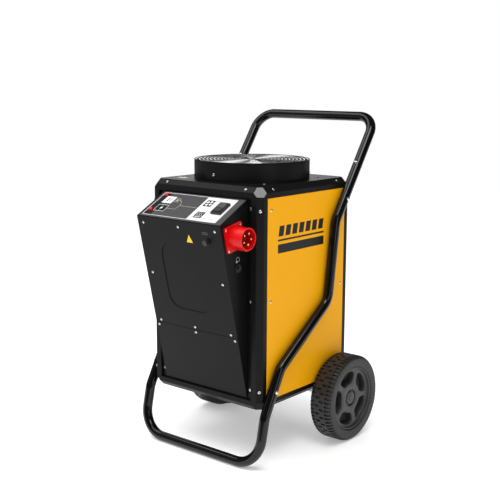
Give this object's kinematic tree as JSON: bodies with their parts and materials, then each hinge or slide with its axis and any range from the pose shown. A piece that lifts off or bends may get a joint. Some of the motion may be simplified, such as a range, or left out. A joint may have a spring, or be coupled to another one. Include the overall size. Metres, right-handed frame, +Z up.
{
  "type": "portable electric drying heater",
  "caption": "Wheeled sheet-metal drying heater with a fan on top, a front control console, a bent tube frame with handle and a round outlet beneath.",
  "frame": {"origin": "on the floor, under the middle of the whole machine", "axes": "+Z up, +Y to the rear where the handle is, +X to the side that has the power inlet"},
  "size_m": [0.55, 0.6281, 0.941],
  "materials": {
    "black_sheet": "satin powder coat",
    "yellow_sheet": "smooth powder coat",
    "tube_black": "gloss powder coat",
    "zinc": "bright zinc plate",
    "guard_steel": "bright nickel plate",
    "galvanised": "galvanised",
    "element_steel": "heat tinted",
    "shaft_steel": "ground",
    "motor_cast": "as cast",
    "fan_plastic": "moulded",
    "wheel_plastic": "moulded",
    "tyre_rubber": "matte",
    "red_plastic": "semi gloss moulding",
    "red_insert": "moulded",
    "pin_brass": "machined",
    "lamp_red": "clear red moulding",
    "black_plastic": "fine texture",
    "terminal_plastic": "moulded",
    "grommet_rubber": "moulded",
    "fascia_film": "printed film"
  },
  "bodies": {
    "cabinet": {"base_pan": "black_sheet", "top_cover": "black_sheet", "front_post_left": "black_sheet", "front_post_right": "black_sheet", "rear_post_left": "black_sheet", "rear_post_right": "black_sheet", "rear_panel": "black_sheet", "front_panel": "black_sheet", "console_housing": "black_sheet", "console_upper_cover": "black_sheet", "console_lower_cover": "black_sheet", "fan_collar": "black_sheet", "outlet_spigot": "black_sheet", "side_panel_left": "yellow_sheet", "side_panel_right": "yellow_sheet", "frame_tube": "tube_black", "handle_tube": "tube_black", "cabinet_screws": "zinc", "console_screws": "zinc", "frame_bolts": "zinc", "frame_spacers": "zinc", "axle": "zinc", "axle_washers": "zinc", "axle_bracket_left": "zinc", "axle_bracket_right": "zinc", "joint_sleeves": "zinc", "fan_guard": "guard_steel", "outlet_guard": "guard_steel", "inner_duct": "galvanised", "element_rack": "galvanised", "motor_bracket": "galvanised", "mounting_plate": "galvanised", "heating_elements": "element_steel", "fan_motor": "motor_cast", "hub_cap_left": "wheel_plastic", "hub_cap_right": "wheel_plastic", "inlet_housing": "red_plastic", "inlet_insert": "red_insert", "inlet_pins": "pin_brass", "power_lamp": "lamp_red", "fault_lamp": "lamp_red", "rocker_bezel": "black_plastic", "lamp_bezels": "black_plastic", "probe_socket": "black_plastic", "reset_bezel": "black_plastic", "contactor": "black_plastic", "limit_thermostat": "black_plastic", "terminal_block": "terminal_plastic", "cable_grommet": "grommet_rubber", "control_fascia": "fascia_film"},
    "wheel_left": {"tyre_left": "tyre_rubber", "wheel_rim_left": "wheel_plastic"},
    "wheel_right": {"tyre_right": "tyre_rubber", "wheel_rim_right": "wheel_plastic"},
    "fan": {"fan_impeller": "fan_plastic", "fan_shaft": "shaft_steel"},
    "rocker": {"power_rocker": "black_plastic"},
    "reset": {"reset_button": "black_plastic"},
    "probe": {"probe_plug": "black_plastic"}
  },
  "joints": [
    {"name": "wheel_left_spin", "type": "hinge", "parent": "cabinet", "child": "wheel_left", "pos_m": [-0.24, 0.1305, 0.125], "axis": [1, 0, 0], "continuous": true},
    {"name": "wheel_right_spin", "type": "hinge", "parent": "cabinet", "child": "wheel_right", "pos_m": [0.24, 0.1305, 0.125], "axis": [1, 0, 0], "continuous": true},
    {"name": "fan_spin", "type": "hinge", "parent": "cabinet", "child": "fan", "pos_m": [0, -0.005, 0.78], "axis": [0, 0, 1], "continuous": true},
    {"name": "rocker_tilt", "type": "hinge", "parent": "cabinet", "child": "rocker", "pos_m": [0.102, -0.25438, 0.70047], "axis": [1, 0, 0], "range_deg": [-12, 12]},
    {"name": "reset_push", "type": "slide", "parent": "cabinet", "child": "reset", "axis": [-1, 0, 0], "range_m": [0, 0.0025], "stiffness_N_per_m": 400},
    {"name": "probe_pull", "type": "slide", "parent": "cabinet", "child": "probe", "axis": [0, -0.9756, -0.2196], "range_m": [0, 0.02]}
  ]
}
